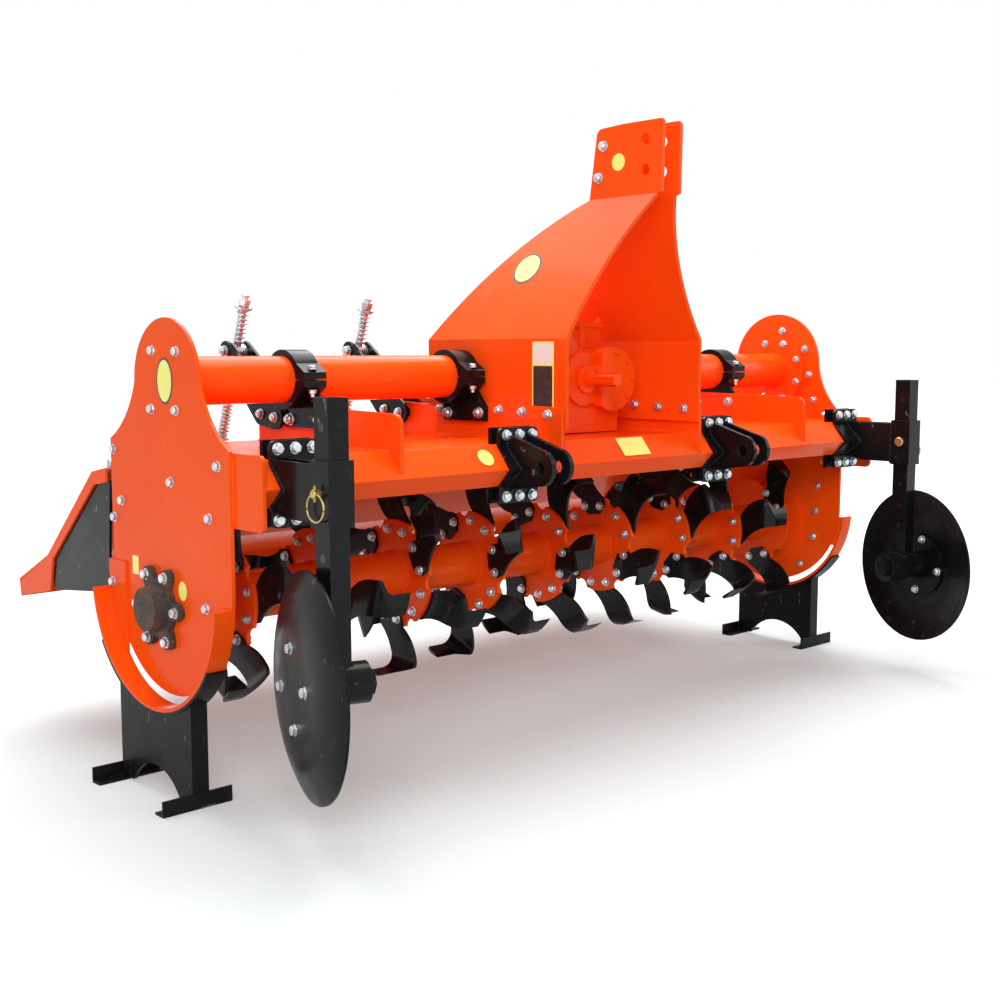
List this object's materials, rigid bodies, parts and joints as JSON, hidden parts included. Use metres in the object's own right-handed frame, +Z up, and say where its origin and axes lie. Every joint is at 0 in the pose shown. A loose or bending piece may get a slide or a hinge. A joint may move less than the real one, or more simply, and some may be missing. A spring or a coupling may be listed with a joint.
{
  "type": "rotavator",
  "caption": "Tractor-mounted rotary tiller: bladed rotor under a hood between round side plates, hitch mast, side discs, hinged trailing board, on parking stands.",
  "frame": {"origin": "centre of the bounding box on the ground", "axes": "+X along the rotor, -Y toward the tractor, +Z up"},
  "size_m": [2.346, 1.5044, 1.448],
  "materials": {
    "orange_paint": "gloss",
    "black_paint": "gloss",
    "zinc": "satin",
    "cast_iron": "rusted"
  },
  "bodies": {
    "frame": {"side_plate_left": "orange_paint", "side_plate_right": "orange_paint", "bar_end_plates": "orange_paint", "front_bar": "orange_paint", "deck_sheet": "orange_paint", "hinge_rod": "zinc", "deck_ribs": "orange_paint", "main_tube": "orange_paint", "clamp_caps": "black_paint", "clamp_saddles": "black_paint", "mast_plate_left": "orange_paint", "mast_plate_right": "orange_paint", "mast_spacers": "zinc", "gearbox_housing": "orange_paint", "gearbox_cover": "orange_paint", "hitch_bracket_left": "black_paint", "hitch_bracket_right": "black_paint", "disc_bracket_left": "black_paint", "disc_bracket_right": "black_paint", "bracket_strips": "black_paint", "disc_leg_left": "black_paint", "disc_leg_right": "black_paint", "bearing_rings": "orange_paint", "bearing_cover": "cast_iron", "drive_case": "orange_paint", "skid_left": "orange_paint", "skid_right": "orange_paint", "stand_left": "black_paint", "stand_right": "black_paint", "rod_brackets": "black_paint"},
    "rotor": {"rotor_shaft": "orange_paint", "blades_left_hand": "black_paint", "blades_right_hand": "black_paint"},
    "input_shaft": {"pto_shaft": "orange_paint"},
    "disc_left": {"disc_left": "black_paint", "disc_axle_left": "black_paint"},
    "disc_right": {"disc_right": "black_paint", "disc_axle_right": "black_paint"},
    "board": {"trailing_board": "orange_paint", "board_shields": "black_paint", "board_lugs": "orange_paint"},
    "trunnion_1": {"trunnion_1": "zinc"},
    "spring_rod_1": {"spring_rod_1": "zinc"},
    "trunnion_2": {"trunnion_2": "zinc"},
    "spring_rod_2": {"spring_rod_2": "zinc"},
    "trunnion_3": {"trunnion_3": "zinc"},
    "spring_rod_3": {"spring_rod_3": "zinc"},
    "trunnion_4": {"trunnion_4": "zinc"},
    "spring_rod_4": {"spring_rod_4": "zinc"}
  },
  "joints": [
    {"name": "rotor_spin", "type": "hinge", "parent": "frame", "child": "rotor", "pos_m": [0, -0.005, 0.385], "axis": [1, 0, 0], "continuous": true},
    {"name": "pto_spin", "type": "hinge", "parent": "frame", "child": "input_shaft", "pos_m": [0, -0.205, 0.85], "axis": [0, -1, 0], "continuous": true},
    {"name": "disc_left_spin", "type": "hinge", "parent": "frame", "child": "disc_left", "pos_m": [-0.998, -0.53, 0.305], "axis": [-0.9537, 0.3007, 0], "continuous": true},
    {"name": "disc_right_spin", "type": "hinge", "parent": "frame", "child": "disc_right", "pos_m": [0.998, -0.53, 0.305], "axis": [0.9537, -0.3007, 0], "continuous": true},
    {"name": "board_lift", "type": "hinge", "parent": "frame", "child": "board", "pos_m": [0, 0.231, 0.672], "axis": [1, 0, 0], "range_deg": [0, 35]},
    {"name": "trunnion_1_tilt", "type": "hinge", "parent": "frame", "child": "trunnion_1", "pos_m": [-0.715, 0.241, 0.92], "axis": [1, 0, 0], "range_deg": [0, 1.6]},
    {"name": "spring_rod_1_slide", "type": "slide", "parent": "trunnion_1", "child": "spring_rod_1", "axis": [0, -0.3344, 0.9424], "range_m": [0, 0.0605]},
    {"name": "trunnion_2_tilt", "type": "hinge", "parent": "frame", "child": "trunnion_2", "pos_m": [-0.357, 0.241, 0.92], "axis": [1, 0, 0], "range_deg": [0, 1.6]},
    {"name": "spring_rod_2_slide", "type": "slide", "parent": "trunnion_2", "child": "spring_rod_2", "axis": [0, -0.3344, 0.9424], "range_m": [0, 0.0605]},
    {"name": "trunnion_3_tilt", "type": "hinge", "parent": "frame", "child": "trunnion_3", "pos_m": [0.357, 0.241, 0.92], "axis": [1, 0, 0], "range_deg": [0, 1.6]},
    {"name": "spring_rod_3_slide", "type": "slide", "parent": "trunnion_3", "child": "spring_rod_3", "axis": [0, -0.3344, 0.9424], "range_m": [0, 0.0605]},
    {"name": "trunnion_4_tilt", "type": "hinge", "parent": "frame", "child": "trunnion_4", "pos_m": [0.715, 0.241, 0.92], "axis": [1, 0, 0], "range_deg": [0, 1.6]},
    {"name": "spring_rod_4_slide", "type": "slide", "parent": "trunnion_4", "child": "spring_rod_4", "axis": [0, -0.3344, 0.9424], "range_m": [0, 0.0605]}
  ],
  "couplings": [
    {"joint": "pto_spin", "follows": "rotor_spin", "ratio": 2.7},
    {"joint": "trunnion_1_tilt", "follows": "board_lift", "ratio": 0.04},
    {"joint": "spring_rod_1_slide", "follows": "board_lift", "m_per_rad": 0.0963},
    {"joint": "trunnion_2_tilt", "follows": "board_lift", "ratio": 0.04},
    {"joint": "spring_rod_2_slide", "follows": "board_lift", "m_per_rad": 0.0963},
    {"joint": "trunnion_3_tilt", "follows": "board_lift", "ratio": 0.04},
    {"joint": "spring_rod_3_slide", "follows": "board_lift", "m_per_rad": 0.0963},
    {"joint": "trunnion_4_tilt", "follows": "board_lift", "ratio": 0.04},
    {"joint": "spring_rod_4_slide", "follows": "board_lift", "m_per_rad": 0.0963}
  ]
}
